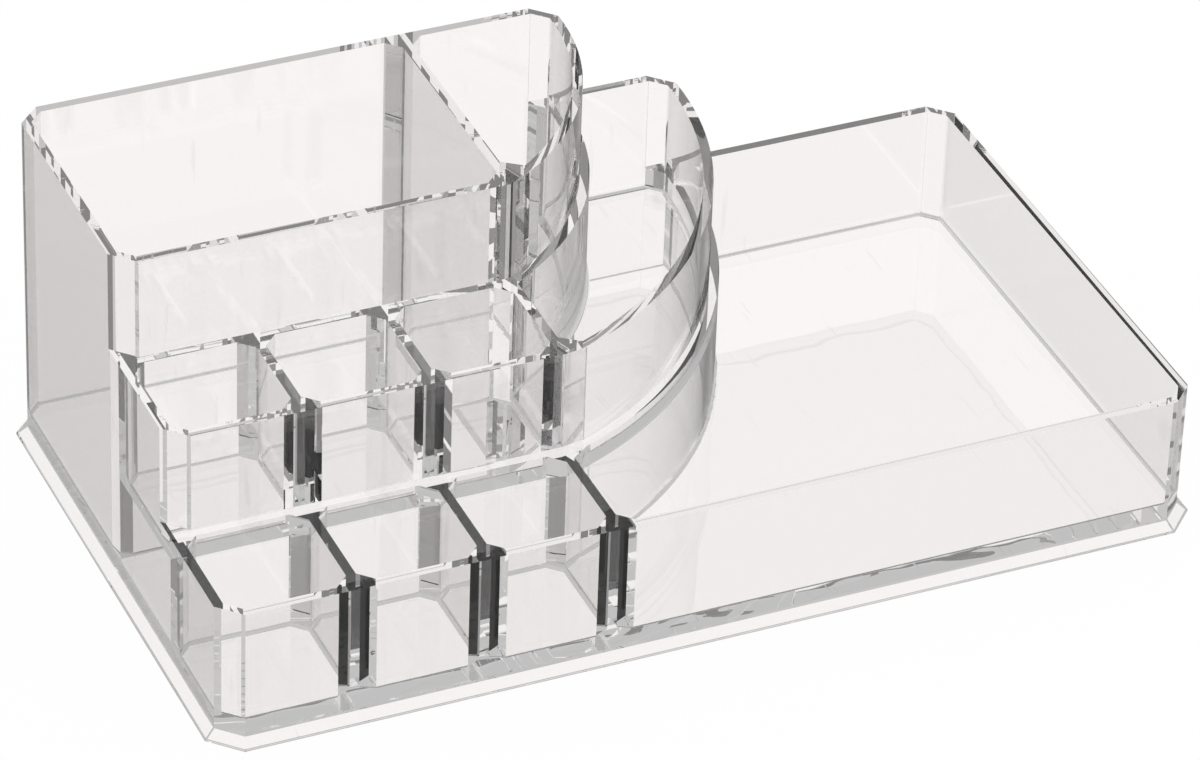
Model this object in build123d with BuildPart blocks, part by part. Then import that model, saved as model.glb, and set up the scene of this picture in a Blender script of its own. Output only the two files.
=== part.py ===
from build123d import *
from build123d.topology import SkipClean
import os
from math import hypot, sqrt

# Clear desk organizer with three stepped tiers and ten open compartments. It is built of acrylic
# panels that are bonded edge to edge. Sizes are in millimetres. The origin is on the table under
# the middle of the footprint, +X points right, +Y to the rear and +Z up.

# Overall sizes, between the outer faces of the walls and from the table to each rim
width = 218.0
depth = 122.6
tall_height = 79.0
middle_height = 55.7
low_height = 32.5
wall = 2.1

# Base plate: the skirt slopes out below the walls, and a shallow recess leaves it as a thin foot.
# Every floor turns up in a small cove, which stops just short of where it would run out in the wall.
base_height = 5.4
skirt_height = 2.6
skirt_flare = 2.3
skirt_lip = 0.4
skirt_thickness = 1.2
recess_depth = 1.7
cove_radius = 0.8
cove_height = 0.65

# Compartments: three small ones in each row, with the legs of their 45 degree corners
pocket_width = 26.3
low_row_depth = 26.6
middle_row_depth = 25.6
pocket_leg = 3.1
corner_chamfer = 4.9
raised_floor_top = 28.4
raised_floor_thickness = 2.1

# Quarter curves of the two upper tiers, round one centre. A short facet behind the third divider
# leads from each straight front into its curve, and it rises by this much on the way.
curve_center_inset = 57.0
facet_run = 5.4
tall_facet_rise = 3.0
middle_facet_rise = 0.9

# Positions that follow from the sizes
left = -width / 2
right = width / 2
front = -depth / 2
rear = depth / 2
inner_left = left + wall
inner_right = right - wall
inner_front = front + wall
inner_rear = rear - wall
middle_front = front + 2 * wall + low_row_depth
tall_front = middle_front + 2 * wall + middle_row_depth
divider_x = [left + wall / 2 + (pocket_width + wall) * n for n in (1, 2, 3)]
facet_start = divider_x[2]
facet_end = facet_start + facet_run
center_x = left + curve_center_inset
center_y = inner_rear - pocket_leg
tall_radius = hypot(facet_end - center_x, center_y - tall_front - tall_facet_rise)
middle_radius = hypot(facet_end - center_x, center_y - middle_front - middle_facet_rise)
tall_side = center_x + tall_radius
middle_side = center_x + middle_radius
skirt_slope = skirt_flare / (skirt_height - skirt_lip)
corner_growth = 2 - sqrt(2)


def tier_plan(front_y, facet_rise, radius, grow):
    """Plan of a tier inside its outer faces: straight front, facet and quarter curve, grown evenly."""
    curve_start = (facet_end, front_y + facet_rise)
    curve_end = (center_x + radius, center_y)
    with BuildSketch() as plan:
        with BuildLine():
            Polyline((left, rear), (left, front_y), (facet_start, front_y), curve_start)
            RadiusArc(curve_start, curve_end, -radius)
            Polyline(curve_end, (center_x + radius, rear), (left, rear))
        make_face()
        if grow:
            offset(amount=grow, kind=Kind.INTERSECTION)
    return plan.sketch


def flare_point(front_y, facet_rise, radius, grow):
    """Point on a tier's grown outline where the third divider's flare ends: on the facet or the curve."""
    slope = facet_rise / facet_run
    facet_y = front_y + facet_rise - grow * sqrt(1 + slope**2)
    curve_y = center_y - sqrt((radius + grow) ** 2 - (facet_end - center_x) ** 2)
    return facet_end, max(facet_y, curve_y)


def shell_plan(outside, inside):
    """Band between two plans, kept inside the left and rear panels."""
    with BuildSketch() as plan:
        add(outside)
        add(inside, mode=Mode.SUBTRACT)
        with Locations((inner_left, inner_rear)):
            Rectangle(2 * width, 2 * depth, align=(Align.MIN, Align.MAX), mode=Mode.INTERSECT)
    return plan.sketch


def base_plan(grow):
    """Outline of the base with its corners cut at 45 degrees, grown evenly beyond the walls."""
    with BuildSketch() as plan:
        Rectangle(width + 2 * grow, depth + 2 * grow)
        chamfer(plan.vertices(), length=corner_chamfer + grow * corner_growth)
    return plan.sketch


def corner_plan(x, y, along_x, along_y):
    """Triangle that fills the inside corner at x, y and turns it into a 45 degree face."""
    with BuildSketch() as plan:
        Polygon((x, y), (x + along_x * pocket_leg, y), (x, y + along_y * pocket_leg), align=None)
    return plan.sketch


def divider_plan(x, near_y, far_y, near_flare=None, far_flare=None):
    """Plan of a divider that flares at both ends, reaching half way into the walls it meets."""
    face_left = x - wall / 2
    face_right = x + wall / 2
    flare_left = face_left - pocket_leg
    near_x, near_right = near_flare or (face_right + pocket_leg, near_y)
    far_x, far_right = far_flare or (face_right + pocket_leg, far_y)
    reach = wall / 2
    with BuildSketch() as plan:
        Polygon(
            (flare_left, near_y - reach),
            (x, near_y - reach),
            (near_x, near_right - reach),
            (near_x, near_right),
            (face_right, near_right + pocket_leg),
            (face_right, far_right - pocket_leg),
            (far_x, far_right),
            (far_x, far_right + reach),
            (x, far_y + reach),
            (flare_left, far_y + reach),
            (flare_left, far_y),
            (face_left, far_y - pocket_leg),
            (face_left, near_y + pocket_leg),
            (flare_left, near_y),
            align=None,
        )
    return plan.sketch


def open_plans(plan, corners, dividers):
    """Outlines of the compartments that the corners and the dividers leave on a floor."""
    with BuildSketch() as floor:
        add(plan)
        add([corner_plan(*corner) for corner in corners], mode=Mode.SUBTRACT)
        add(dividers, mode=Mode.SUBTRACT)
    return floor.sketch.faces()


def coves(outlines, floor_z):
    """Coves along a floor's edges: a low prism on each compartment, hollowed by a rounded pillow."""
    with BuildPart() as pillows:
        for outline in outlines:
            with BuildSketch(Plane.XY.offset(floor_z)):
                add(outline)
            extrude(amount=2 * cove_radius)
        fillet(pillows.edges().group_by(Axis.Z)[0], radius=cove_radius)
    with BuildPart() as edging:
        for outline in outlines:
            with BuildSketch(Plane.XY.offset(floor_z)):
                add(outline)
            extrude(amount=cove_height)
        add(pillows.part, mode=Mode.SUBTRACT)
    return edging.part


tall_tier = (tall_front, tall_facet_rise, tall_radius)
tall_plan = tier_plan(*tall_tier, 0)
tall_inside = tier_plan(*tall_tier, -wall)
tall_outside = tier_plan(*tall_tier, wall)
middle_tier = (middle_front, middle_facet_rise, middle_radius)
middle_plan = tier_plan(*middle_tier, 0)
middle_inside = tier_plan(*middle_tier, -wall)
middle_outside = tier_plan(*middle_tier, wall)

# Plans of the dividers. The right one of each row ends on the facets that lead into the curves.
near_flare = flare_point(*tall_tier, -wall)
tall_divider_plan = divider_plan(divider_x[2], tall_front + wall, inner_rear, near_flare)
middle_divider_plans = {}
low_divider_plans = {}
for side, x in zip(("left", "center", "right"), divider_x):
    near_flare = flare_point(*middle_tier, -wall) if side == "right" else None
    far_flare = flare_point(*tall_tier, wall) if side == "right" else None
    plan = divider_plan(x, middle_front + wall, tall_front - wall, near_flare, far_flare)
    middle_divider_plans[side] = plan
    far_flare = flare_point(*middle_tier, wall) if side == "right" else None
    low_divider_plans[side] = divider_plan(x, inner_front, middle_front - wall, None, far_flare)

# Inside corners of each tier. Strips fill most of them, and the rest belong to the back walls.
tall_corners = {
    "rear_left_strip": (inner_left, inner_rear, 1, -1),
    "tall_front_strip": (inner_left, tall_front + wall, 1, 1),
    "tall_rear_strip": (tall_side - wall, inner_rear, -1, -1),
}
middle_corners = {
    "middle_front_strip": (inner_left, middle_front + wall, 1, 1),
    "middle_rear_strip": (middle_side - wall, inner_rear, -1, -1),
}
low_corners = {
    "front_left_strip": (inner_left, inner_front, 1, 1),
    "front_right_strip": (inner_right, inner_front, -1, 1),
    "rear_right_strip": (inner_right, inner_rear, -1, -1),
}
middle_back_corners = [
    (inner_left, tall_front - wall, 1, -1),
    (tall_side + wall, inner_rear, 1, -1),
]
low_back_corners = [
    (inner_left, middle_front - wall, 1, -1),
    (middle_side + wall, inner_rear, 1, -1),
]

# Compartments: what stays open between the walls, the corners and the dividers
with BuildSketch() as tray_outline:
    Rectangle(width - 2 * wall, depth - 2 * wall)
tall_open = open_plans(shell_plan(tall_inside, []), tall_corners.values(), tall_divider_plan)
middle_band = shell_plan(middle_inside, tall_outside)
middle_cut = [*middle_corners.values(), *middle_back_corners]
middle_open = open_plans(middle_band, middle_cut, middle_divider_plans.values())
low_band = shell_plan(tray_outline.sketch, middle_outside)
low_cut = [*low_corners.values(), *low_back_corners]
low_open = open_plans(low_band, low_cut, low_divider_plans.values())

# Wedges that take the 45 degree chamfers off the outside corners of every tier
outside_corners = [
    (left, rear, 1, -1, base_height, tall_height),
    (left, front, 1, 1, base_height, low_height),
    (right, front, -1, 1, base_height, low_height),
    (right, rear, -1, -1, base_height, low_height),
    (left, middle_front, 1, 1, low_height, middle_height),
    (middle_side, rear, -1, -1, low_height, middle_height),
    (left, tall_front, 1, 1, middle_height, tall_height),
    (tall_side, rear, -1, -1, middle_height, tall_height),
]
with BuildPart() as corner_wedges:
    for x, y, along_x, along_y, bottom, top in outside_corners:
        with BuildSketch(Plane.XY.offset(bottom)):
            Polygon(
                (x - along_x * wall, y - along_y * wall),
                (x + along_x * (corner_chamfer + wall), y - along_y * wall),
                (x - along_x * wall, y + along_y * (corner_chamfer + wall)),
                align=None,
            )
        extrude(amount=top - bottom)

pieces = {}

# Base plate: lip, sloping skirt and upright edge. The sides of the recess below follow the skirt,
# which leaves it evenly thin.
with BuildPart() as base_plate:
    with BuildSketch():
        add(base_plan(skirt_flare))
    extrude(amount=skirt_lip)
    with BuildSketch(Plane.XY.offset(skirt_lip)):
        add(base_plan(skirt_flare))
    with BuildSketch(Plane.XY.offset(skirt_height)):
        add(base_plan(0))
    loft(ruled=True)
    with BuildSketch(Plane.XY.offset(skirt_height)):
        add(base_plan(0))
    extrude(amount=base_height - skirt_height)
    for recess_z in (0, recess_depth):
        with BuildSketch(Plane.XY.offset(recess_z)):
            add(base_plan(skirt_slope * (skirt_height - recess_z) - skirt_thickness))
    loft(ruled=True, mode=Mode.SUBTRACT)
    add(coves(tall_open + low_open, base_height))
pieces["base_plate"] = base_plate.part

# Left panel: one flat sheet with three steps
with BuildPart() as left_panel:
    with BuildSketch(Plane.YZ.offset(left)):
        with BuildLine():
            Polyline(
                (front, base_height),
                (front, low_height),
                (middle_front, low_height),
                (middle_front, middle_height),
                (tall_front, middle_height),
                (tall_front, tall_height),
                (rear, tall_height),
                (rear, base_height),
                close=True,
            )
        make_face()
    extrude(amount=wall)
    add(corner_wedges.part, mode=Mode.SUBTRACT)
pieces["left_panel"] = left_panel.part

# Rear panel: stepped down to the right where each curve ends
with BuildPart() as rear_panel:
    with BuildSketch(Plane.XZ.offset(-rear)):
        with BuildLine():
            Polyline(
                (inner_left, base_height),
                (inner_left, tall_height),
                (tall_side, tall_height),
                (tall_side, middle_height),
                (middle_side, middle_height),
                (middle_side, low_height),
                (inner_right, low_height),
                (inner_right, base_height),
                close=True,
            )
        make_face()
    extrude(amount=wall)
    add(corner_wedges.part, mode=Mode.SUBTRACT)
pieces["rear_panel"] = rear_panel.part

# Right panel and front panel: low walls of the tray
with BuildPart() as right_panel:
    with BuildSketch(Plane.XY.offset(base_height)):
        with Locations((right, 0)):
            Rectangle(wall, depth, align=(Align.MAX, Align.CENTER))
    extrude(amount=low_height - base_height)
    add(corner_wedges.part, mode=Mode.SUBTRACT)
pieces["right_panel"] = right_panel.part

with BuildPart() as front_panel:
    with BuildSketch(Plane.XY.offset(base_height)):
        with Locations((0, front)):
            Rectangle(width - 2 * wall, wall, align=(Align.CENTER, Align.MIN))
    extrude(amount=low_height - base_height)
    add(corner_wedges.part, mode=Mode.SUBTRACT)
pieces["front_panel"] = front_panel.part

# Tall tier: one bent wall from the left panel round the curve to the rear panel
with BuildPart() as tall_wall:
    with BuildSketch(Plane.XY.offset(base_height)):
        add(shell_plan(tall_plan, tall_inside))
    extrude(amount=tall_height - base_height)
    add(corner_wedges.part, mode=Mode.SUBTRACT)
pieces["tall_wall"] = tall_wall.part

# Raised floor of the middle tier, from the tall wall out to the low tier's back wall
with BuildPart() as middle_floor:
    with BuildSketch(Plane.XY.offset(raised_floor_top)):
        add(shell_plan(middle_plan, tall_plan))
    extrude(amount=-raised_floor_thickness)
    add(coves(middle_open, raised_floor_top))
pieces["middle_floor"] = middle_floor.part

# Middle tier: its bent front wall, and its back wall whose top is the ledge round the tall tier
with BuildPart() as middle_wall:
    with BuildSketch(Plane.XY.offset(raised_floor_top)):
        add(shell_plan(middle_plan, middle_inside))
    extrude(amount=middle_height - raised_floor_top)
    add(corner_wedges.part, mode=Mode.SUBTRACT)
pieces["middle_wall"] = middle_wall.part

with BuildPart() as middle_back:
    with BuildSketch(Plane.XY.offset(raised_floor_top)):
        add(shell_plan(tall_outside, tall_plan))
        add([corner_plan(*corner) for corner in middle_back_corners])
    extrude(amount=middle_height - raised_floor_top)
pieces["middle_back"] = middle_back.part

# Low tier: its back wall, whose top is the ledge round the middle tier
with BuildPart() as low_back:
    with BuildSketch(Plane.XY.offset(base_height)):
        add(shell_plan(middle_outside, middle_plan))
        add([corner_plan(*corner) for corner in low_back_corners])
    extrude(amount=low_height - base_height)
pieces["low_back"] = low_back.part

# Corner strips: they join two panels and make the flat facets across the corners
for corners, bottom, top in (
    (tall_corners, base_height, tall_height),
    (middle_corners, raised_floor_top, middle_height),
    (low_corners, base_height, low_height),
):
    for name, corner in corners.items():
        with BuildPart() as corner_strip:
            with BuildSketch(Plane.XY.offset(bottom)):
                add(corner_plan(*corner))
            extrude(amount=top - bottom)
            add(corner_wedges.part, mode=Mode.SUBTRACT)
        pieces[name] = corner_strip.part

# Tall divider, between the large compartment and the rounded one
with BuildPart() as tall_divider:
    with BuildSketch(Plane.XY.offset(base_height)):
        add(tall_divider_plan)
    extrude(amount=tall_height - base_height)
    add([tall_wall.part, rear_panel.part], mode=Mode.SUBTRACT)
pieces["tall_divider"] = tall_divider.part

# Middle dividers stand on the raised floor, and low dividers on the base plate
for side in ("left", "center", "right"):
    with BuildPart() as middle_divider:
        with BuildSketch(Plane.XY.offset(raised_floor_top)):
            add(middle_divider_plans[side])
        extrude(amount=middle_height - raised_floor_top)
        add([middle_wall.part, middle_back.part], mode=Mode.SUBTRACT)
    pieces[f"middle_divider_{side}"] = middle_divider.part

    with BuildPart() as low_divider:
        with BuildSketch(Plane.XY.offset(base_height)):
            add(low_divider_plans[side])
        extrude(amount=low_height - base_height)
        add([front_panel.part, low_back.part], mode=Mode.SUBTRACT)
    pieces[f"low_divider_{side}"] = low_divider.part

# Write one file per piece, with the outline of each bonded joint marked on both faces
os.makedirs("parts", exist_ok=True)
for name, piece in pieces.items():
    with BuildPart() as marked:
        add(piece)
        with SkipClean():
            add([other for key, other in pieces.items() if key != name], mode=Mode.SUBTRACT)
    marked.part.label = name
    export_step(marked.part, f"parts/{name}.step")
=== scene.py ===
from math import cos, radians, sin

import bmesh
import bpy
from mathutils import Matrix, Vector
from mathutils.bvhtree import BVHTree

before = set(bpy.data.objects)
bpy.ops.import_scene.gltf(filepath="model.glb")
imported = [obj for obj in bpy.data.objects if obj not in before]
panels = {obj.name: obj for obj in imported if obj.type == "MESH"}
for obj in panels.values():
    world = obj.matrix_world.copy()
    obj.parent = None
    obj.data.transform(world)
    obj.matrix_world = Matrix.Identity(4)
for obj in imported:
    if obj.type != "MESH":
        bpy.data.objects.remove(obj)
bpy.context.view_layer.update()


# Base plate: the floor of the low and tall compartments, a thick plate of clear acrylic with a
# sloping skirt and coved floor edges. It is polished, and its floors carry hairline scratches,
# specks and the faint waves of the mould.
def new_group(name, inputs, outputs):
    group = bpy.data.node_groups.new(name, "ShaderNodeTree")
    for label, kind in inputs:
        group.interface.new_socket(label, in_out="INPUT", socket_type=kind)
    for label, kind in outputs:
        group.interface.new_socket(label, in_out="OUTPUT", socket_type=kind)
    entry = group.nodes.new("NodeGroupInput")
    leave = group.nodes.new("NodeGroupOutput")
    return group, entry, leave


def math_node(nodes, operation, number=None):
    node = nodes.new("ShaderNodeMath")
    node.operation = operation
    if number is not None:
        node.inputs[1].default_value = number
    return node


# Waves: slow uneven swells left in a polished face, given as a height
wave_group, entry, leave = new_group(
    "face_waves",
    [("Position", "NodeSocketVector"), ("Across", "NodeSocketVector")],
    [("Height", "NodeSocketFloat")],
)
stretch = wave_group.nodes.new("ShaderNodeVectorMath")
stretch.operation = "MULTIPLY"
swell = wave_group.nodes.new("ShaderNodeTexNoise")
swell.inputs["Scale"].default_value = 1.0
swell.inputs["Detail"].default_value = 1.5
swell.inputs["Roughness"].default_value = 0.4
wave_group.links.new(entry.outputs["Position"], stretch.inputs[0])
wave_group.links.new(entry.outputs["Across"], stretch.inputs[1])
wave_group.links.new(stretch.outputs["Vector"], swell.inputs["Vector"])
wave_group.links.new(swell.outputs["Fac"], leave.inputs["Height"])

# Wear: hairline scratches and small specks, given as a mask
wear_group, entry, leave = new_group(
    "handling_wear",
    [("Position", "NodeSocketVector"), ("Specks", "NodeSocketFloat")],
    [("Mask", "NodeSocketFloat")],
)
cells_per_metre = 150.0
speck_edge, speck_core = 0.04, 0.015
hair_start, hair_full = 0.80, 0.86
speck_cells = wear_group.nodes.new("ShaderNodeTexVoronoi")
speck_cells.inputs["Scale"].default_value = cells_per_metre
speck_size = wear_group.nodes.new("ShaderNodeMapRange")
speck_size.inputs["From Min"].default_value = speck_edge
speck_size.inputs["From Max"].default_value = speck_core
speck_pick = math_node(wear_group.nodes, "LESS_THAN")
speck_mask = math_node(wear_group.nodes, "MULTIPLY")
hair_stretch = wear_group.nodes.new("ShaderNodeMapping")
hair_stretch.inputs["Rotation"].default_value = (0.4, 0.3, 0.6)
hair_stretch.inputs["Scale"].default_value = (900.0, 60.0, 60.0)
hair = wear_group.nodes.new("ShaderNodeTexNoise")
hair.inputs["Scale"].default_value = 1.0
hair.inputs["Detail"].default_value = 0.0
hair_line = wear_group.nodes.new("ShaderNodeMapRange")
hair_line.inputs["From Min"].default_value = hair_start
hair_line.inputs["From Max"].default_value = hair_full
either = math_node(wear_group.nodes, "MAXIMUM")
wear_group.links.new(entry.outputs["Position"], speck_cells.inputs["Vector"])
wear_group.links.new(speck_cells.outputs["Distance"], speck_size.inputs["Value"])
wear_group.links.new(speck_cells.outputs["Color"], speck_pick.inputs[0])
wear_group.links.new(entry.outputs["Specks"], speck_pick.inputs[1])
wear_group.links.new(speck_size.outputs["Result"], speck_mask.inputs[0])
wear_group.links.new(speck_pick.outputs["Value"], speck_mask.inputs[1])
wear_group.links.new(entry.outputs["Position"], hair_stretch.inputs["Vector"])
wear_group.links.new(hair_stretch.outputs["Vector"], hair.inputs["Vector"])
wear_group.links.new(hair.outputs["Fac"], hair_line.inputs["Value"])
wear_group.links.new(speck_mask.outputs["Value"], either.inputs[0])
wear_group.links.new(hair_line.outputs["Result"], either.inputs[1])
wear_group.links.new(either.outputs["Value"], leave.inputs["Mask"])

refractive_index = 1.65
clear_tint = (1.0, 0.995, 0.994, 1.0)
worn_tint = (0.93, 0.91, 0.905, 1.0)
worn_roughness = 0.12
most_turns = 15.5  # light that has turned more often inside is let out, as by a real sheet's haze


def clear_acrylic(name, waves_across, wave_depth, specks):
    """Clear polished acrylic with its own run and depth of waves and share of specks."""
    acrylic = bpy.data.materials.new(name)
    acrylic.use_nodes = True
    nodes = acrylic.node_tree.nodes
    links = acrylic.node_tree.links
    body = nodes["Principled BSDF"]
    body.inputs["IOR"].default_value = refractive_index
    body.inputs["Transmission Weight"].default_value = 1.0
    place = nodes.new("ShaderNodeTexCoord")
    waves = nodes.new("ShaderNodeGroup")
    waves.node_tree = wave_group
    waves.inputs["Across"].default_value = waves_across
    relief = nodes.new("ShaderNodeBump")
    relief.inputs["Distance"].default_value = wave_depth
    wear = nodes.new("ShaderNodeGroup")
    wear.node_tree = wear_group
    wear.inputs["Specks"].default_value = specks
    tint = nodes.new("ShaderNodeMix")
    tint.data_type = "RGBA"
    tint.inputs["A"].default_value = clear_tint
    tint.inputs["B"].default_value = worn_tint
    haze = nodes.new("ShaderNodeMapRange")
    haze.inputs["To Min"].default_value = 0.0
    haze.inputs["To Max"].default_value = worn_roughness
    path = nodes.new("ShaderNodeLightPath")
    held = math_node(nodes, "LESS_THAN", most_turns)
    links.new(path.outputs["Glossy Depth"], held.inputs[0])
    links.new(held.outputs["Value"], body.inputs["Alpha"])
    links.new(place.outputs["Object"], waves.inputs["Position"])
    links.new(waves.outputs["Height"], relief.inputs["Height"])
    links.new(relief.outputs["Normal"], body.inputs["Normal"])
    links.new(place.outputs["Object"], wear.inputs["Position"])
    links.new(wear.outputs["Mask"], tint.inputs["Factor"])
    links.new(tint.outputs["Result"], body.inputs["Base Color"])
    links.new(wear.outputs["Mask"], haze.inputs["Value"])
    links.new(haze.outputs["Result"], body.inputs["Roughness"])
    return acrylic


def dress(names, material):
    for name in names:
        panels[name].data.materials.clear()
        panels[name].data.materials.append(material)


moulded = clear_acrylic("moulded_base", waves_across=(60.0, 60.0, 30.0), wave_depth=0.00006, specks=0.2)
dress(["base_plate"], moulded)

# Flat outer panels: left, rear, right and front walls, cut from clear acrylic sheet and bonded to
# the base plate along their lower edges.
sheet = clear_acrylic("flat_sheet", waves_across=(30.0, 30.0, 15.0), wave_depth=0.00001, specks=0.1)
dress(["left_panel", "rear_panel", "right_panel", "front_panel"], sheet)

# Bent walls and raised floor: the fronts of the two upper tiers run round a curve to the rear panel.
# They are bent from warm acrylic sheet, which leaves upright ripples in them.
bent = clear_acrylic("bent_sheet", waves_across=(60.0, 60.0, 6.0), wave_depth=0.00003, specks=0.1)
dress(["tall_wall", "middle_floor", "middle_wall", "middle_back", "low_back"], bent)

# Dividers and corner strips: short clear pieces set between the walls, flared at their ends, which
# turn the inside corners of every compartment into 45 degree faces.
cut = clear_acrylic("cut_strip", waves_across=(40.0, 40.0, 15.0), wave_depth=0.00002, specks=0.1)
dress([name for name in panels if "divider" in name or "strip" in name], cut)

# Bonded joints: where two pieces are cemented face to face the joint is as clear as the sheet, so
# the faces that meet there neither bend nor reflect the light.
bond = bpy.data.materials.new("clear_bond")
bond.use_nodes = True
joint = bond.node_tree.nodes["Principled BSDF"]
joint.inputs["Base Color"].default_value = (1.0, 1.0, 1.0, 1.0)
joint.inputs["Alpha"].default_value = 0.0

joint_gap = 0.00012
facing = -0.9
solids = {
    name: BVHTree.FromPolygons(
        [v.co for v in panel.data.vertices], [p.vertices[:] for p in panel.data.polygons]
    )
    for name, panel in panels.items()
}
for name, panel in panels.items():
    panel.data.materials.append(bond)
    for face in panel.data.polygons:
        meets = [
            near[1].dot(face.normal) < facing
            for other, solid in solids.items()
            if other != name
            for near in solid.find_nearest_range(face.center, joint_gap)
        ]
        face.material_index = 1 if any(meets) else 0

# Table: a plain white top, far larger than the view. Seen directly, or straight through the acrylic,
# it is white and keeps a faint shadow. Where the acrylic has turned the light, the table glows at
# levels set by the number of turns and of faces passed, which paints shade and light into what the
# acrylic shows.
table_reach, table_drop = 3.0, 0.0002
table_mesh = bmesh.new()
bmesh.ops.create_grid(table_mesh, x_segments=1, y_segments=1, size=table_reach)
bmesh.ops.translate(table_mesh, verts=table_mesh.verts, vec=(0.0, 0.0, -table_drop))
table_data = bpy.data.meshes.new("table")
table_mesh.to_mesh(table_data)
table_mesh.free()
table = bpy.data.objects.new("table", table_data)
bpy.context.scene.collection.objects.link(table)

white = bpy.data.materials.new("white_table")
white.use_nodes = True
nodes = white.node_tree.nodes
links = white.node_tree.links
nodes.remove(nodes["Principled BSDF"])
path = nodes.new("ShaderNodeLightPath")

# After no turn, one, two or three: white, then painted shade down to black
levels_painted_after_few_turns = (1.0, 0.28, 0.0, 0.0)
turn_step, early = 0.25, 0.12
few_turns = math_node(nodes, "MULTIPLY", turn_step)
few_seen = nodes.new("ShaderNodeValToRGB")
few_seen.color_ramp.interpolation = "CONSTANT"
stops = few_seen.color_ramp.elements
for turn, seen in enumerate(levels_painted_after_few_turns):
    start = max(0.0, turn_step * turn - early)
    stop = stops[turn] if turn < 2 else stops.new(start)
    stop.position = start
    stop.color = (seen, seen, seen, 1.0)
links.new(path.outputs["Glossy Depth"], few_turns.inputs[0])
links.new(few_turns.outputs["Value"], few_seen.inputs["Fac"])

# After one turn and more than two walls, lighter by this much: painted light
painted_light_past_walls = 0.32
one_turn = math_node(nodes, "COMPARE", 1.0)
one_turn.inputs[2].default_value = 0.1
past_walls = math_node(nodes, "GREATER_THAN", 4.5)
lit_turn = math_node(nodes, "MULTIPLY")
lit_seen = math_node(nodes, "MULTIPLY_ADD", painted_light_past_walls)
links.new(path.outputs["Glossy Depth"], one_turn.inputs[0])
links.new(path.outputs["Transmission Depth"], past_walls.inputs[0])
links.new(one_turn.outputs["Value"], lit_turn.inputs[0])
links.new(past_walls.outputs["Value"], lit_turn.inputs[1])
links.new(lit_turn.outputs["Value"], lit_seen.inputs[0])
links.new(few_seen.outputs["Color"], lit_seen.inputs[2])

# After more turns painted light and painted shade by turns, and a painted grey where the acrylic has
# let the light out
painted_light_even_turns, painted_shade_odd_turns, painted_grey_let_out = 0.95, 0.22, 0.60
odd_turns = math_node(nodes, "MODULO", 2.0)
many_seen = nodes.new("ShaderNodeMapRange")
many_seen.inputs["To Min"].default_value = painted_light_even_turns
many_seen.inputs["To Max"].default_value = painted_shade_odd_turns
let_out = math_node(nodes, "GREATER_THAN", most_turns)
last_seen = nodes.new("ShaderNodeMix")
last_seen.inputs["B"].default_value = painted_grey_let_out
links.new(path.outputs["Glossy Depth"], odd_turns.inputs[0])
links.new(odd_turns.outputs["Value"], many_seen.inputs["Value"])
links.new(path.outputs["Glossy Depth"], let_out.inputs[0])
links.new(let_out.outputs["Value"], last_seen.inputs["Factor"])
links.new(many_seen.outputs["Result"], last_seen.inputs["A"])

many_turns = math_node(nodes, "GREATER_THAN", len(levels_painted_after_few_turns) - 0.5)
level = nodes.new("ShaderNodeMix")
glow = nodes.new("ShaderNodeEmission")
links.new(path.outputs["Glossy Depth"], many_turns.inputs[0])
links.new(many_turns.outputs["Value"], level.inputs["Factor"])
links.new(lit_seen.outputs["Value"], level.inputs["A"])
links.new(last_seen.outputs["Result"], level.inputs["B"])
links.new(level.outputs["Result"], glow.inputs["Strength"])

# White in plain sight, and a little warmer in or through the acrylic
warm_white = (1.0, 0.978, 0.970, 1.0)
plain_white = (1.0, 1.0, 1.0, 1.0)
warmth = nodes.new("ShaderNodeMix")
warmth.data_type = "RGBA"
warmth.inputs["A"].default_value = warm_white
warmth.inputs["B"].default_value = plain_white
links.new(path.outputs["Is Camera Ray"], warmth.inputs["Factor"])
links.new(warmth.outputs["Result"], glow.inputs["Color"])

# A small diffuse share keeps the shadow
shadow_share = 0.03
paper = nodes.new("ShaderNodeBsdfDiffuse")
paper.inputs["Color"].default_value = plain_white
no_turn = math_node(nodes, "LESS_THAN", 0.5)
shaded = math_node(nodes, "MULTIPLY", shadow_share)
top = nodes.new("ShaderNodeMixShader")
links.new(path.outputs["Glossy Depth"], no_turn.inputs[0])
links.new(no_turn.outputs["Value"], shaded.inputs[0])
links.new(shaded.outputs["Value"], top.inputs["Fac"])
links.new(glow.outputs["Emission"], top.inputs[1])
links.new(paper.outputs["BSDF"], top.inputs[2])
links.new(top.outputs["Shader"], nodes["Material Output"].inputs["Surface"])
table_data.materials.append(white)

# Studio: soft white light from all round. Light that the acrylic turns comes from dimmer parts of the
# room, and what the outside of the object mirrors is dim.
studio = bpy.data.worlds.new("studio")
bpy.context.scene.world = studio
studio.use_nodes = True
nodes = studio.node_tree.nodes
links = studio.node_tree.links
path = nodes.new("ShaderNodeLightPath")

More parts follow.
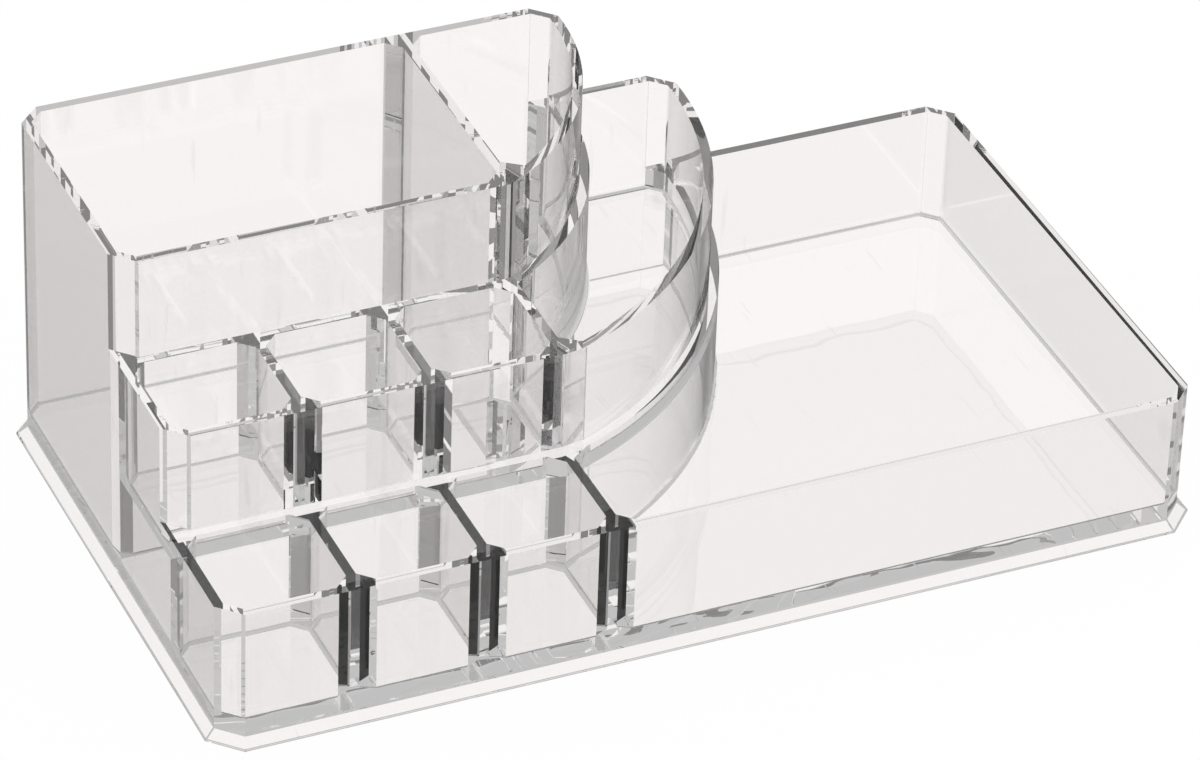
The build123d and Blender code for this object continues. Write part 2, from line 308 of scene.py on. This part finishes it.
# From no turn, from one, from two and from four on: where each starts on the ramp, and its level
room_levels = ((0.0, 1.0), (0.1, 0.90), (0.3, 0.50), (0.7, 0.55))
turn_step = 0.2
turns = math_node(nodes, "MULTIPLY", turn_step)
room = nodes.new("ShaderNodeValToRGB")
room.color_ramp.interpolation = "CONSTANT"
stops = room.color_ramp.elements
for place, (start, seen) in enumerate(room_levels):
    stop = stops[place] if place < 2 else stops.new(start)
    stop.position = start
    stop.color = (seen, seen, seen, 1.0)
links.new(path.outputs["Glossy Depth"], turns.inputs[0])
links.new(turns.outputs["Value"], room.inputs["Fac"])

mirrored_level = 0.12
outside = math_node(nodes, "LESS_THAN", 0.5)
turned = math_node(nodes, "GREATER_THAN", 0.5)
mirrored = math_node(nodes, "MULTIPLY")
dim = nodes.new("ShaderNodeMix")
dim.inputs["B"].default_value = mirrored_level
links.new(path.outputs["Transmission Depth"], outside.inputs[0])
links.new(path.outputs["Glossy Depth"], turned.inputs[0])
links.new(outside.outputs["Value"], mirrored.inputs[0])
links.new(turned.outputs["Value"], mirrored.inputs[1])
links.new(mirrored.outputs["Value"], dim.inputs["Factor"])
links.new(room.outputs["Color"], dim.inputs["A"])
links.new(dim.outputs["Result"], nodes["Background"].inputs["Strength"])
nodes["Background"].inputs["Color"].default_value = (1.0, 1.0, 1.0, 1.0)

# Camera: from the front left and well above the rims, through a long lens.
azimuth, elevation, roll = radians(-24.46), radians(34.738), radians(2.11)
stand = Vector((-0.49717, -1.09133, 0.85547))
sensor_width, focal_length = 36.0, 207.28
back = Vector((sin(azimuth) * cos(elevation), -cos(azimuth) * cos(elevation), sin(elevation)))
right = Vector((cos(azimuth), sin(azimuth), 0.0))
up = back.cross(right)
across = right * cos(roll) + up * sin(roll)
upward = up * cos(roll) - right * sin(roll)
lens = bpy.data.cameras.new("camera")
lens.sensor_width = sensor_width
lens.lens = focal_length
camera = bpy.data.objects.new("camera", lens)
camera.matrix_world = Matrix.Translation(stand) @ Matrix(
    (across, upward, back)
).transposed().to_4x4()
bpy.context.scene.collection.objects.link(camera)
bpy.context.scene.camera = camera

# Render settings: plain colours, and enough bounces for light to cross many clear walls.
bpy.context.scene.view_settings.view_transform = "Standard"
cycles = bpy.context.scene.cycles
cycles.max_bounces = 48
cycles.transmission_bounces = 48
cycles.glossy_bounces = 24
cycles.transparent_max_bounces = 48
